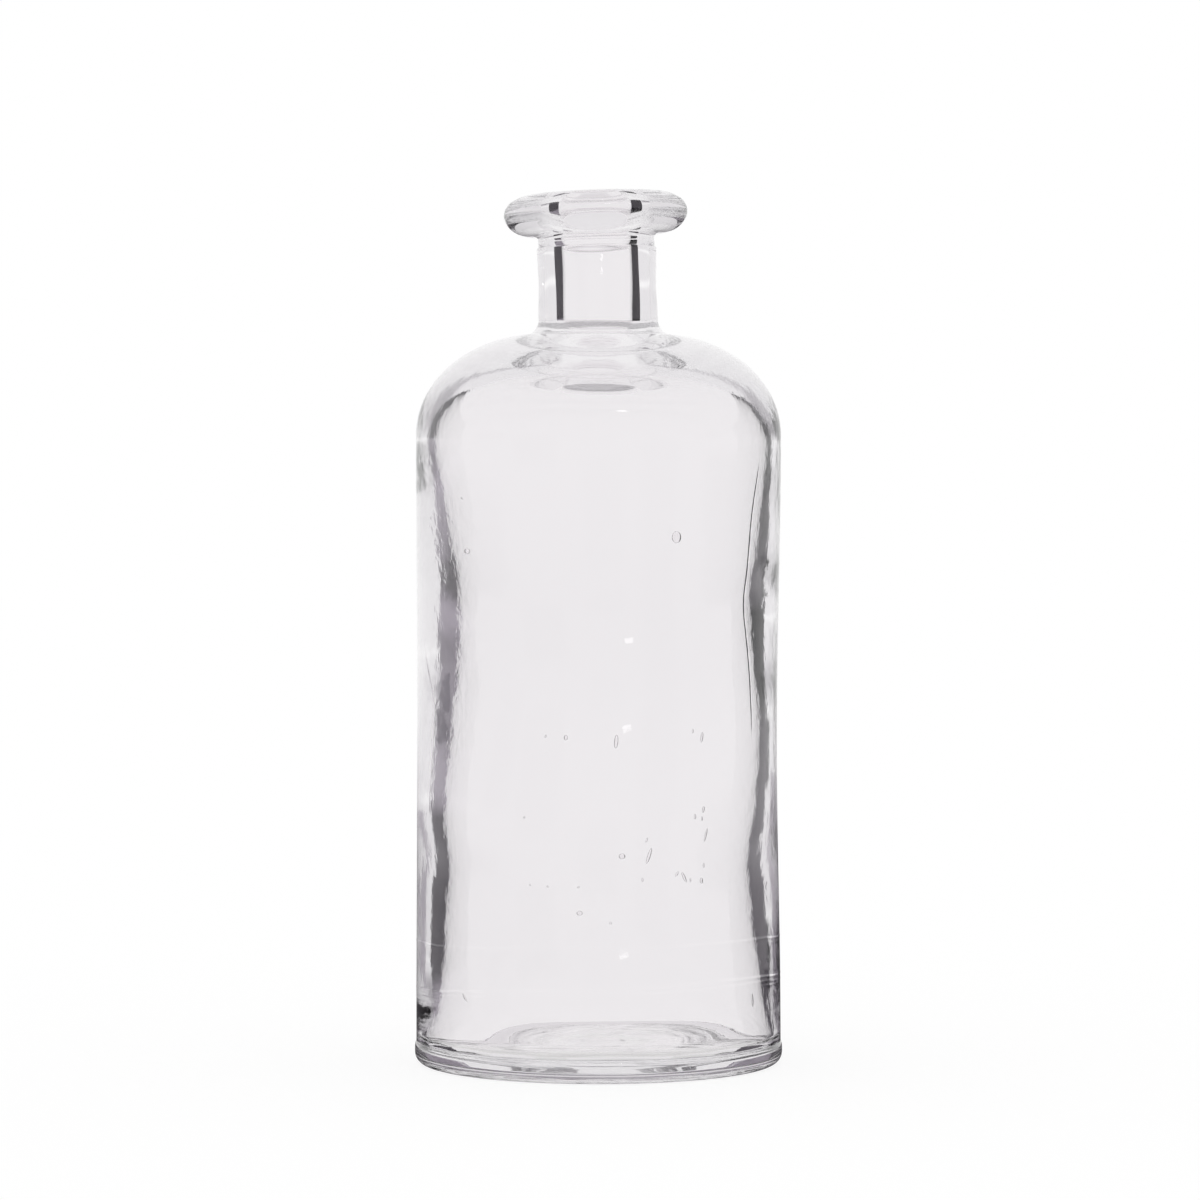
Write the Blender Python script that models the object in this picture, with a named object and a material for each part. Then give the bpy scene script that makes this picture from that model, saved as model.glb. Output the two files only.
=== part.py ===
"""A clear glass apothecary bottle with a flanged lip, pressed and blown in one piece.

Metres, +Z up. The origin is on the bottle's axis, on the plane that it stands on.
The outside follows the mould. The cavity follows the blown bubble, so it has its own
outline, whose wall is thick at the belly and leans to one side.
"""

import math

import bmesh
import bpy

# Body, measured on the outside
BODY_RADIUS = 0.0500
WAIST_DRAW = 0.0007
WAIST_BOW = 0.0004
SHOULDER_BASE = 0.1718
SHOULDER_RISE = 0.0277
SHOULDER_ACROSS = 0.0330

# Heel and base
HEEL_RADIUS = 0.0032
HEEL_BEAD_PROUD = 0.0004
HEEL_BEAD_LAND = 0.0010
HEEL_BEAD_FALL = 0.0018
STANDING_RING_WIDTH = 0.0035
PUSH_UP = 0.0015

# Neck, whose fillet lands on the shoulder at an angle in degrees from the shoulder's widest point
NECK_RADIUS = 0.0161
NECK_FLARE = 0.0003
NECK_LEAN = math.radians(1.35)
NECK_HEIGHT = 0.0233
NECK_FILLET = 0.0040
NECK_LANDING = 84.6
COLLAR_HEIGHT = 0.0039
COLLAR_STEP = 0.00045

# Lip
LIP_RADIUS = 0.0251
LIP_THICKNESS = 0.0112
LIP_TOP_ROUND = 0.0075
LIP_UNDER_ROUND = 0.0074
LIP_UNDER_FILLET = 0.0012
LIP_EDGE_DROP = 0.0053
LIP_LEAN = math.radians(1.9)

# Cavity
FLOOR_THICKNESS = 0.0050
FLOOR_CROWN = 0.0008
FLOOR_CORNER = 0.0040
WALL_AT_HEEL = 0.0040
WALL_LOW_THICK = 0.0081
WALL_THIN = 0.0064
WALL_BELLY = 0.0085
WALL_AT_SHOULDER = 0.0045
LOW_THICK_SHARE = 0.24
THIN_SHARE = 0.42
BELLY_SHARE = 0.70
CAVITY_SHIFT = 0.0022
SHOULDER_WALL = 0.0092
INNER_SHOULDER_ACROSS = 0.0229
INNER_SHOULDER_RISE = 0.0203
BORE_RADIUS = 0.0098
BORE_FLARE = 0.0005
BORE_FOOT_ROUND = 0.0030
MOUTH_ROUND = 0.0020

# Steps that the round forms are drawn with
TURN_STEPS = 48
WALL_STEPS = 8
CAVITY_STEPS = 14
SHARP_ANGLE = math.radians(40)
SAME_POINT = 1e-5

HEEL_BEAD_HEIGHT = HEEL_RADIUS + HEEL_BEAD_LAND
HEEL_GROOVE_HEIGHT = HEEL_BEAD_HEIGHT + HEEL_BEAD_FALL
SHOULDER_TOP = SHOULDER_BASE + SHOULDER_RISE
NECK_FOOT = SHOULDER_BASE + SHOULDER_RISE * math.sin(math.radians(NECK_LANDING)) + NECK_FILLET
PARTING_HEIGHT = SHOULDER_TOP + NECK_HEIGHT
LIP_BOTTOM = PARTING_HEIGHT + COLLAR_HEIGHT
HEIGHT = LIP_BOTTOM + LIP_THICKNESS
CAVITY_FOOT = FLOOR_THICKNESS + FLOOR_CORNER
CEILING = SHOULDER_TOP - SHOULDER_WALL
CAVITY_SHOULDER = CEILING - INNER_SHOULDER_RISE


def smooth_step(value, start, end):
    """0 before start, 1 after end, and an S-shaped rise between them."""
    share = min(max((value - start) / (end - start), 0.0), 1.0)
    return share * share * (3.0 - 2.0 * share)


def arc(centre, half_width, half_height, first, last, steps):
    """Points on an ellipse round centre, from angle first to angle last, in degrees."""
    points = []
    for step in range(steps + 1):
        angle = math.radians(first + (last - first) * step / steps)
        points.append((centre[0] + half_width * math.cos(angle), centre[1] + half_height * math.sin(angle)))
    return points


def waist_share(height):
    """1 halfway up the wall, and a smooth fall to 0 at the heel's groove and at the shoulder."""
    share = (height - HEEL_GROOVE_HEIGHT) / (SHOULDER_BASE - HEEL_GROOVE_HEIGHT)
    return math.sin(math.pi * min(max(share, 0.0), 1.0)) ** 2


def outer_radius(height):
    """The mould's wall: full at the heel and at the shoulder, drawn in a little between them."""
    return BODY_RADIUS - WAIST_DRAW * waist_share(height)


def wall_thickness(height):
    """The wall between five heights, with an S-shaped change from each one to the next."""
    span = CAVITY_SHOULDER - CAVITY_FOOT
    stations = (
        (CAVITY_FOOT, WALL_AT_HEEL),
        (CAVITY_FOOT + LOW_THICK_SHARE * span, WALL_LOW_THICK),
        (CAVITY_FOOT + THIN_SHARE * span, WALL_THIN),
        (CAVITY_FOOT + BELLY_SHARE * span, WALL_BELLY),
        (CAVITY_SHOULDER, WALL_AT_SHOULDER),
    )
    thickness = WALL_AT_HEEL
    for (start, before), (end, after) in zip(stations, stations[1:]):
        thickness += (after - before) * smooth_step(height, start, end)
    return thickness


def cavity_radius(height):
    """The inner face of the wall."""
    return outer_radius(height) - wall_thickness(height)


def cavity_outline():
    """Radius and height from the middle of the floor, up the inside, to the mouth."""
    floor_edge = cavity_radius(CAVITY_FOOT) - FLOOR_CORNER
    points = []
    for step in range(3):
        share = step / 3
        crown = FLOOR_CROWN * math.cos(0.5 * math.pi * share) ** 2
        points.append((floor_edge * share, FLOOR_THICKNESS + crown))
    points += arc((floor_edge, CAVITY_FOOT), FLOOR_CORNER, FLOOR_CORNER, -90, 0, 4)
    for step in range(1, CAVITY_STEPS):
        height = CAVITY_FOOT + (CAVITY_SHOULDER - CAVITY_FOOT) * step / CAVITY_STEPS
        points.append((cavity_radius(height), height))
    shoulder = (cavity_radius(CAVITY_SHOULDER) - INNER_SHOULDER_ACROSS, CAVITY_SHOULDER)
    points += arc(shoulder, INNER_SHOULDER_ACROSS, INNER_SHOULDER_RISE, 0, 90, 6)
    bore_foot = (BORE_RADIUS + BORE_FOOT_ROUND, CEILING + BORE_FOOT_ROUND)
    points += arc(bore_foot, BORE_FOOT_ROUND, BORE_FOOT_ROUND, 270, 180, 3)
    points.append((BORE_RADIUS, PARTING_HEIGHT))
    mouth = (BORE_RADIUS + BORE_FLARE + MOUTH_ROUND, HEIGHT - MOUTH_ROUND)
    points += arc(mouth, MOUTH_ROUND, MOUTH_ROUND, 180, 90, 3)
    return points


def lip_outline():
    """From the flat land round the mouth, over the flange's edge, to the fillet under it."""
    edge_height = HEIGHT - LIP_EDGE_DROP
    top = (LIP_RADIUS - LIP_TOP_ROUND, edge_height)
    under = (LIP_RADIUS - LIP_UNDER_ROUND, edge_height)
    collar_radius = NECK_RADIUS + NECK_FLARE - COLLAR_STEP
    points = arc(top, LIP_TOP_ROUND, LIP_EDGE_DROP, 90, 0, 6)
    points += arc(under, LIP_UNDER_ROUND, edge_height - LIP_BOTTOM, 0, -90, 4)[1:]
    fillet = (collar_radius + LIP_UNDER_FILLET, LIP_BOTTOM - LIP_UNDER_FILLET)
    points += arc(fillet, LIP_UNDER_FILLET, LIP_UNDER_FILLET, 90, 180, 3)
    return points


def neck_outline():
    """From the collar's parting line down the waisted neck and its fillet to the shoulder."""
    top_radius = NECK_RADIUS + NECK_FLARE
    points = [(top_radius - COLLAR_STEP, PARTING_HEIGHT + COLLAR_STEP), (top_radius, PARTING_HEIGHT)]
    for step in range(1, 4):
        share = step / 4
        radius = NECK_RADIUS + NECK_FLARE * math.cos(math.pi * share) ** 2
        points.append((radius, PARTING_HEIGHT + (NECK_FOOT - PARTING_HEIGHT) * share))
    points += arc((top_radius + NECK_FILLET, NECK_FOOT), NECK_FILLET, NECK_FILLET, 180, 265, 4)
    return points


def body_outline():
    """From the neck's foot over the shoulder and down the wall to the groove over the heel bead."""
    centre = (BODY_RADIUS - SHOULDER_ACROSS, SHOULDER_BASE)
    points = arc(centre, SHOULDER_ACROSS, SHOULDER_RISE, NECK_LANDING, 0, 9)[1:]
    for step in range(1, WALL_STEPS + 1):
        height = SHOULDER_BASE + (HEEL_GROOVE_HEIGHT - SHOULDER_BASE) * step / WALL_STEPS
        points.append((outer_radius(height), height))
    return points


def base_outline():
    """Heel bead, rounded heel, flat standing ring, and the push-up inside the ring."""
    bead = BODY_RADIUS + HEEL_BEAD_PROUD
    points = arc((BODY_RADIUS, HEEL_BEAD_HEIGHT), HEEL_BEAD_PROUD, HEEL_BEAD_FALL, 60, 0, 2)
    points += arc((bead - HEEL_RADIUS, HEEL_RADIUS), HEEL_RADIUS, HEEL_RADIUS, 0, -90, 3)
    ring_inside = bead - HEEL_RADIUS - STANDING_RING_WIDTH
    for step in range(4):
        share = step / 4
        radius = ring_inside * (1 - share)
        points.append((radius, PUSH_UP * math.sin(0.5 * math.pi * share)))
    points.append((0.0, PUSH_UP))
    return points


def without_doubles(points):
    """The same outline without points that lie on the one before them."""
    kept = [points[0]]
    for point in points[1:]:
        if math.dist(point, kept[-1]) > SAME_POINT:
            kept.append(point)
    return kept


def shape_uneven_glass(mesh, cavity):
    """Bow the waist, set the cavity off centre, and lean the neck and lip, as warm glass does."""
    for vert in mesh.verts:
        height = vert.co.z
        vert.co.z += math.tan(LIP_LEAN) * vert.co.x * smooth_step(height, PARTING_HEIGHT, LIP_BOTTOM)
        vert.co.x -= WAIST_BOW * waist_share(height)
        vert.co.x -= math.tan(NECK_LEAN) * max(height - SHOULDER_TOP, 0.0)
        if vert[cavity]:
            vert.co.x += CAVITY_SHIFT * waist_share(height)


def clear_glass():
    """Colourless soda glass with a faint grey cast."""
    material = bpy.data.materials.new("clear_glass")
    material.use_nodes = True
    shader = material.node_tree.nodes["Principled BSDF"]
    shader.inputs["Base Color"].default_value = (0.92, 0.93, 0.93, 1.0)
    shader.inputs["Metallic"].default_value = 0.0
    shader.inputs["Roughness"].default_value = 0.03
    shader.inputs["IOR"].default_value = 1.52
    shader.inputs["Transmission Weight"].default_value = 1.0
    return material


def make_bottle():
    """Turn the outline, from the floor up the cavity and down the outside, round the axis."""
    inside = without_doubles(cavity_outline())
    outside = without_doubles(lip_outline() + neck_outline() + body_outline() + base_outline())
    mesh = bmesh.new()
    cavity = mesh.verts.layers.int.new("cavity")
    verts = [mesh.verts.new((radius, 0.0, height)) for radius, height in inside + outside]
    for vert in verts[:len(inside)]:
        vert[cavity] = 1
    edges = [mesh.edges.new(pair) for pair in zip(verts, verts[1:])]
    bmesh.ops.spin(
        mesh, geom=verts + edges, cent=(0, 0, 0), axis=(0, 0, 1), angle=2 * math.pi, steps=TURN_STEPS
    )
    bmesh.ops.remove_doubles(mesh, verts=mesh.verts, dist=SAME_POINT)
    shape_uneven_glass(mesh, cavity)
    bmesh.ops.recalc_face_normals(mesh, faces=mesh.faces)
    data = bpy.data.meshes.new("glass_bottle")
    mesh.to_mesh(data)
    mesh.free()
    data.shade_smooth()
    data.set_sharp_from_angle(angle=SHARP_ANGLE)
    data.materials.append(clear_glass())
    bottle = bpy.data.objects.new("glass_bottle", data)
    bpy.context.collection.objects.link(bottle)
    return bottle


for old in list(bpy.data.objects):
    bpy.data.objects.remove(old)
make_bottle()
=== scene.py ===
# %% [markdown]
# # A clear glass bottle
# The object is one piece of colourless glass: an empty apothecary-style bottle with a domed
# shoulder, a short neck and a rounded flange for a lip. It was pressed and then blown in a mould.
# The mould made the outside, which is nearly true. Air made the inside, which wanders. Almost
# everything that the eye reads in clear glass comes from that difference, so this lesson spends
# its effort on two surfaces, the outer one and the cavity, and on the room that they bend.

# %% Load the frame
import math

import bpy
import numpy as np
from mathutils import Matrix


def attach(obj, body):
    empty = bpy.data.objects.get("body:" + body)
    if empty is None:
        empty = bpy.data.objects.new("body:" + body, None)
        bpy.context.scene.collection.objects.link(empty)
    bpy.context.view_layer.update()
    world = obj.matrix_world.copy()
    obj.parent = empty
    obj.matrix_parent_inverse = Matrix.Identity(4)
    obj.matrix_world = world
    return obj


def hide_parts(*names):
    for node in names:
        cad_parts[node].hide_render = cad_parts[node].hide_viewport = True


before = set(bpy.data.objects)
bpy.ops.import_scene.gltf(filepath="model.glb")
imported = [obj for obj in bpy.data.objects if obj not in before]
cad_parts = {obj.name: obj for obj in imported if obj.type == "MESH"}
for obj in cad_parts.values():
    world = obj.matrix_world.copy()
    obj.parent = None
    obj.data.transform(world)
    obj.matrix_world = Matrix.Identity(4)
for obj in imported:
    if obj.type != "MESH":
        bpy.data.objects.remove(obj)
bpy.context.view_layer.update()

MM_PER_METRE = 1000.0


# %% [markdown]
# ## Light paths
# Light that enters the thick shoulder or the lip can be thrown from wall to wall a dozen times.
# With the usual limits such paths end early and come out black, so the limits are raised here.
# The Standard view shows white as white.

# %% Light paths
MOST_BOUNCES = 32
MOST_MIRRORINGS = 24

scene = bpy.context.scene
scene.view_settings.view_transform = "Standard"
scene.cycles.max_bounces = MOST_BOUNCES
scene.cycles.transmission_bounces = MOST_BOUNCES
scene.cycles.glossy_bounces = MOST_MIRRORINGS

# %% [markdown]
# ## The camera
# The photograph was taken from nearby with a long lens. The rings at the heel open by about seven
# degrees and the rings at the neck hardly at all, which puts the lens a little above the middle
# of the bottle and 1.2 metres away. Its height and the row of the horizon give its tilt.

# %% Camera
FRAME_PIXELS = 1200
SENSOR = 36.0
PIXELS_PER_METRE = 3650.0
CAMERA_DISTANCE = 1.206
CAMERA_HEIGHT = 0.152
BASE_ROW = 1062.8
AXIS_COLUMN = 598.5

focal_pixels = PIXELS_PER_METRE * CAMERA_DISTANCE
horizon_row = BASE_ROW - PIXELS_PER_METRE * CAMERA_HEIGHT
tilt = math.atan((FRAME_PIXELS / 2 - horizon_row) / focal_pixels)
turn = math.atan((FRAME_PIXELS / 2 - AXIS_COLUMN) / focal_pixels)

camera_data = bpy.data.cameras.new("camera")
camera_data.sensor_width = SENSOR
camera_data.lens = SENSOR * focal_pixels / FRAME_PIXELS
camera = bpy.data.objects.new("camera", camera_data)
camera.location = (0.0, -CAMERA_DISTANCE, CAMERA_HEIGHT)
camera.rotation_euler = (math.pi / 2 - tilt, 0.0, -turn)
scene.collection.objects.link(camera)
scene.camera = camera
print("lens", round(camera_data.lens, 1), "mm")
print("tilted down", round(math.degrees(tilt), 2), "degrees")

# %% [markdown]
# ## Sizes
# All sizes are in millimetres here, because a glass maker would give them so, and become metres
# in the last step. The outside is a handful of arcs. The cavity has a radius at its left and at
# its right side for each of a few heights. The dark stripes in the photograph lie where the
# line of sight touches the cavity's wall, so those radii were read from the stripes.

# %% Sizes
BODY_RADIUS = 49.95
SHOULDER_BASE = 171.8
SHOULDER_RISE = 27.7
SHOULDER_ACROSS = 33.0
SHOULDER_TOP = SHOULDER_BASE + SHOULDER_RISE
WAIST_DRAW = 0.65
WAIST_BOW = 0.4

HEEL_RADIUS = 3.2
HEEL_BEAD_PROUD = 0.40
HEEL_BEAD_TOP = 4.2
HEEL_GROOVE = 6.0
RING_INSIDE = 44.3
PUSH_UP = 1.5

NECK_RADIUS = 16.1
NECK_FLARE = 0.3
NECK_FILLET = 4.0
NECK_LANDING = 84.6
PARTING_HEIGHT = 222.8
COLLAR_STEP = 0.45
LIP_BOTTOM = 226.7
LIP_EDGE = 232.6
LIP_TOP = 237.88
LIP_RADIUS = 25.1
LIP_TOP_ROUND = 7.5
LIP_UNDER_ROUND = 7.4
LIP_UNDER_FILLET = 1.2
NECK_LEAN = math.radians(1.35)
LIP_LEAN = math.radians(1.9)

FLOOR = 5.3
FLOOR_CROWN = 0.8
FLOOR_CORNER = 3.4
FLOOR_FLARE = 2.0
CEILING = 190.3
DOME_ACROSS = 22.9
DOME_UP = 20.3
BORE_RADIUS = 9.5
BORE_FLARE = 0.5
BORE_FOOT_ROUND = 3.0
MOUTH_ROUND = 2.0

WALL_HEIGHTS = (0, 9, 17, 28, 39, 50, 66, 83, 99, 113, 127, 138, 149, 165, 185)
LEFT_CAVITY = (
    46.5, 46.3, 44.1, 42.2, 41.9, 41.8, 43.0, 41.9, 40.4, 39.1, 39.5, 41.2, 42.8, 44.8, 45.5,
)
RIGHT_CAVITY = (
    46.5, 46.3, 45.1, 43.5, 42.1, 41.6, 42.8, 43.4, 43.2, 41.9, 41.4, 43.0, 44.1, 45.7, 45.8,
)

# %% [markdown]
# ## Curves to build with
# A bottle is a turned shape, so its section is a run of arcs and flowing lines. Three helpers
# cover most of them: an arc, an S-shaped blend, and a smooth curve through measured points. A
# fourth gives the waist of the outer wall. Each takes and gives whole arrays.

# %% Curve helpers
def arc(centre, across, up, first, last, count):
    """An ellipse's points: centre plus across times the cosine and up times the sine of an angle.

    The angle runs from first to last, in degrees.
    """
    angle = np.radians(np.linspace(first, last, count))
    return np.stack([centre[0] + across * np.cos(angle), centre[1] + up * np.sin(angle)], axis=1)


def blend(value, start, end):
    """0 at start, 1 at end, and three times the square less twice the cube of the share between."""
    share = np.clip((value - start) / (end - start), 0.0, 1.0)
    return share * share * (3.0 - 2.0 * share)


def through(height, heights, values):
    """A cubic through each value, whose slope there is a weighted mean of those on either side."""
    heights = np.asarray(heights, float)
    values = np.asarray(values, float)
    slopes = np.gradient(values, heights)
    height = np.clip(height, heights[0], heights[-1])
    at = np.clip(np.searchsorted(heights, height) - 1, 0, len(heights) - 2)
    span = heights[at + 1] - heights[at]
    share = (height - heights[at]) / span
    rest = 1 - share
    start = (1 + 2 * share) * rest**2 * values[at] + share * rest**2 * span * slopes[at]
    end = share**2 * (3 - 2 * share) * values[at + 1] - share**2 * rest * span * slopes[at + 1]
    return start + end


def waist(height):
    """The square of a sine that is 0 at the heel's groove and at the shoulder, and 1 halfway."""
    share = np.clip((height - HEEL_GROOVE) / (SHOULDER_BASE - HEEL_GROOVE), 0.0, 1.0)
    return np.sin(np.pi * share) ** 2


# %% [markdown]
# ## How finely the section is cut
# Each stretch of the section gets a number of points. Curves that bend light sharply get more
# of them for their length than long straight runs. The outer wall is cut finest between two
# heights, because the hair-thin mould lines run there. Each of its rows has the height where
# the run starts, the height where it ends and its number of points.

# %% Cuts
CUTS = {
    "floor": 26, "corner": 12, "wall": 118, "dome": 30, "bore foot": 12, "bore": 26, "mouth": 12,
    "lip top": 26, "lip under": 20, "fillet": 8, "parting step": 6, "tube": 24, "root": 12,
    "shoulder": 44, "bead": 10, "heel": 10, "base": 18,
}
LINES_TOP = 38
LINES_BOTTOM = 19
OUTER_WALL_CUTS = (
    (SHOULDER_BASE, LINES_TOP, 40), (LINES_TOP, LINES_BOTTOM, 72), (LINES_BOTTOM, HEEL_GROOVE, 24),
)
ROOT_END = 265
BEAD_START = 80
SAME_POINT = 1e-4

# %% [markdown]
# ## The section
# The section starts in the middle of the cavity's floor, climbs the inner wall, comes out of the
# bore, goes over the lip and runs down the outside to the middle of the base. Drawn in that order
# and turned anticlockwise, its faces point out of the glass. Here the wall is still the same all
# round. What differs from side to side comes in the next step.

# %% Section
def cavity_section():
    """Radius and height from the floor's middle to the mouth: crown, arc, wall, dome and bore."""
    mean = (np.array(LEFT_CAVITY) + np.array(RIGHT_CAVITY)) / 2
    foot, spring = FLOOR + FLOOR_CORNER, CEILING - DOME_UP
    foot_radius, spring_radius = through(np.array([foot, spring]), WALL_HEIGHTS, mean)
    across = np.linspace(0.0, 1.0, CUTS["floor"])[:-1]
    crown = FLOOR + FLOOR_CROWN * np.cos(0.5 * np.pi * across) ** 2
    floor = np.stack([across * (foot_radius - FLOOR_CORNER), crown], axis=1)
    corner_centre = (foot_radius - FLOOR_CORNER, foot)
    corner = arc(corner_centre, FLOOR_CORNER, FLOOR_CORNER, -90, 0, CUTS["corner"])
    rise = np.linspace(foot, spring, CUTS["wall"])[1:-1]
    wall = np.stack([through(rise, WALL_HEIGHTS, mean), rise], axis=1)
    dome_centre = (spring_radius - DOME_ACROSS, spring)
    dome = arc(dome_centre, DOME_ACROSS, DOME_UP, 0, 90, CUTS["dome"])
    foot_round = (BORE_RADIUS + BORE_FOOT_ROUND, CEILING + BORE_FOOT_ROUND)
    bore_foot = arc(foot_round, BORE_FOOT_ROUND, BORE_FOOT_ROUND, 270, 180, CUTS["bore foot"])
    climb = np.linspace(CEILING + BORE_FOOT_ROUND, LIP_TOP - MOUTH_ROUND, CUTS["bore"])[1:-1]
    bore_wall = BORE_RADIUS + BORE_FLARE * blend(climb, PARTING_HEIGHT, LIP_TOP)
    bore = np.stack([bore_wall, climb], axis=1)
    mouth = (BORE_RADIUS + BORE_FLARE + MOUTH_ROUND, LIP_TOP - MOUTH_ROUND)
    rim = arc(mouth, MOUTH_ROUND, MOUTH_ROUND, 180, 90, CUTS["mouth"])
    return np.concatenate([floor, corner, wall, dome, bore_foot, bore, rim])


def neck_section():
    """The flange's two quarter ellipses, the fillet under it, the parting step and the neck."""
    top_centre = (LIP_RADIUS - LIP_TOP_ROUND, LIP_EDGE)
    top = arc(top_centre, LIP_TOP_ROUND, LIP_TOP - LIP_EDGE, 90, 0, CUTS["lip top"])
    under_centre = (LIP_RADIUS - LIP_UNDER_ROUND, LIP_EDGE)
    under = arc(under_centre, LIP_UNDER_ROUND, LIP_EDGE - LIP_BOTTOM, 0, -90, CUTS["lip under"])
    collar = NECK_RADIUS + NECK_FLARE - COLLAR_STEP
    fillet_centre = (collar + LIP_UNDER_FILLET, LIP_BOTTOM - LIP_UNDER_FILLET)
    fillet = arc(fillet_centre, LIP_UNDER_FILLET, LIP_UNDER_FILLET, 90, 180, CUTS["fillet"])
    step = arc((collar, PARTING_HEIGHT), COLLAR_STEP, COLLAR_STEP, 90, 0, CUTS["parting step"])
    foot = SHOULDER_BASE + SHOULDER_RISE * math.sin(math.radians(NECK_LANDING)) + NECK_FILLET
    drop = np.linspace(PARTING_HEIGHT, foot, CUTS["tube"])[1:-1]
    share = (drop - foot) / (PARTING_HEIGHT - foot)
    tube = np.stack([NECK_RADIUS + NECK_FLARE * np.cos(np.pi * share) ** 2, drop], axis=1)
    root_centre = (NECK_RADIUS + NECK_FLARE + NECK_FILLET, foot)
    root = arc(root_centre, NECK_FILLET, NECK_FILLET, 180, ROOT_END, CUTS["root"])
    return np.concatenate([top, under[1:], fillet, step, tube, root])


def body_section():
    """The shoulder's ellipse, the wall drawn in at its waist, the heel, the ring, the push-up."""
    centre = (BODY_RADIUS - SHOULDER_ACROSS, SHOULDER_BASE)
    shoulder = arc(centre, SHOULDER_ACROSS, SHOULDER_RISE, NECK_LANDING, 0, CUTS["shoulder"])
    drop = np.concatenate([np.linspace(*run)[1:] for run in OUTER_WALL_CUTS])
    wall = np.stack([BODY_RADIUS - WAIST_DRAW * waist(drop), drop], axis=1)
    bead_centre = (BODY_RADIUS, HEEL_BEAD_TOP)
    bead_up = HEEL_GROOVE - HEEL_BEAD_TOP
    bead = arc(bead_centre, HEEL_BEAD_PROUD, bead_up, BEAD_START, 0, CUTS["bead"])
    heel_centre = (BODY_RADIUS + HEEL_BEAD_PROUD - HEEL_RADIUS, HEEL_RADIUS)
    heel = arc(heel_centre, HEEL_RADIUS, HEEL_RADIUS, 0, -90, CUTS["heel"])
    inward = np.linspace(0.0, 1.0, CUTS["base"])
    base = np.stack([RING_INSIDE * (1 - inward), PUSH_UP * np.sin(0.5 * np.pi * inward)], axis=1)
    return np.concatenate([shoulder[1:], wall, bead, heel, base])


inside = cavity_section()
outside = np.concatenate([neck_section(), body_section()])
section = np.concatenate([inside, outside])
apart = np.linalg.norm(np.diff(section, axis=0), axis=1) > SAME_POINT
section = section[np.concatenate([[True], apart])]
is_cavity = np.arange(len(section)) < len(inside)
print("section points:", len(section))

# %% [markdown]
# ## Turning it, unevenly
# A perfect turned shape looks like plastic. Real pressed glass leans: the waist bows, the neck
# tips, the lip tips more, and the cavity is nearer one side than the other. All of it is a change
# to the grid of points as a function of the angle and the height, before any face is made. Three
# ripples with fixed seeds add what can't be measured: one in the cavity's wall, a faint one
# outside, and a short one in the bore, which makes its dark bars waver.

# %% Uneven glass
TURNS = 176
CEILING_SLACK = 0.01
BORE_FADE = 4.0
CAVITY_RIPPLE = {"size": 0.2, "waves": 7, "seed": 4}
MOULD_RIPPLE = {"size": 0.02, "waves": 12, "seed": 9}
BORE_RIPPLE = {"size": 0.11, "waves": 5, "seed": 21, "shortest": 10, "longest": 34}
FULL_SHIFT_RADIUS = 40.0
FLARE_END = (9.0, 18.0)

angle = np.linspace(0.0, 2 * np.pi, TURNS, endpoint=False)
radius = section[:, :1] * np.ones_like(angle)
height = section[:, 1:] * np.ones_like(angle)
cosine = np.cos(angle)[None, :]
sine = np.sin(angle)[None, :]
inner = is_cavity[:, None] & (section[:, 1:] < CEILING + CEILING_SLACK)
in_bore = is_cavity[:, None] * blend(height, CEILING, CEILING + BORE_FADE)


def ripple(size, waves, seed, shortest=30, longest=90):
    """A sum of products of two cosines, with whole turns round and long waves up.

    Each wave is weaker than the last, by the root of its number of turns.
    """
    rng = np.random.default_rng(seed)
    lowest, highest = [0, 0, shortest], [2 * np.pi, 2 * np.pi, longest]
    total = np.zeros_like(height)
    for turn_count in range(1, waves + 1):
        phase_round, phase_up, length = rng.uniform(lowest, highest)
        upwards = np.cos(2 * np.pi * height / length + phase_up)
        wave = np.cos(turn_count * angle + phase_round) * upwards
        total += wave / math.sqrt(turn_count)
    return size * total / math.sqrt(waves)


side = (np.array(RIGHT_CAVITY) - np.array(LEFT_CAVITY)) / 2
share_of_wall = np.clip(radius / FULL_SHIFT_RADIUS, 0.0, 1.0) ** 2
offset = through(height, WALL_HEIGHTS, side) * cosine
wander = ripple(**CAVITY_RIPPLE)
flare = FLOOR_FLARE * (1.0 - blend(height, *FLARE_END)) * sine**2
radius += np.where(inner, share_of_wall * (offset + wander - flare), 0.0)
radius += np.where(is_cavity[:, None], 0.0, ripple(**MOULD_RIPPLE))
radius += in_bore * ripple(**BORE_RIPPLE)

# %% [markdown]
# ## Mould lines
# Three lines run round the body a little above the heel, where the base plate met the mould. They
# are hair-thin, tilted, and a little wavy. Each is a low ridge whose height falls off as a bell
# curve with the distance from a line that rises and falls once in a turn. Each row has the line's
# middle height, how far it rises to the right and to the back, and how proud it stands. Each wave
# has a size and a number of turns.

# %% Mould lines
MOULD_LINES = ((34.2, 0.8, -1.7, 0.035), (22.9, 2.05, -2.0, 0.05), (21.6, 1.75, -2.0, 0.03))
MOULD_LINE_WIDTH = 0.35
SLOW_WAVE = (0.25, 5)
QUICK_WAVE = (0.1, 13)

on_wall = ~is_cavity[:, None] & (height > HEEL_GROOVE) & (height < SHOULDER_BASE)
for middle, right, back, proud in MOULD_LINES:
    line = middle + right * cosine + back * sine
    line = line + SLOW_WAVE[0] * np.cos(SLOW_WAVE[1] * angle + middle)
    line = line + QUICK_WAVE[0] * np.cos(QUICK_WAVE[1] * angle)
    ridge = proud * np.exp(-(((height - line) / MOULD_LINE_WIDTH) ** 2))
    radius += np.where(on_wall, ridge, 0.0)
print("mould lines:", len(MOULD_LINES))

# %% [markdown]
# ## Chill marks and leans
# The floor touched a cold base plate and froze in shallow waves, like ripples in sand. They are a
# product of two cosines, one across and one deep, each bent by the other direction, and they fade
# at the middle. After them the lip, the wall and the neck lean, and the lengths become metres.

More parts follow.
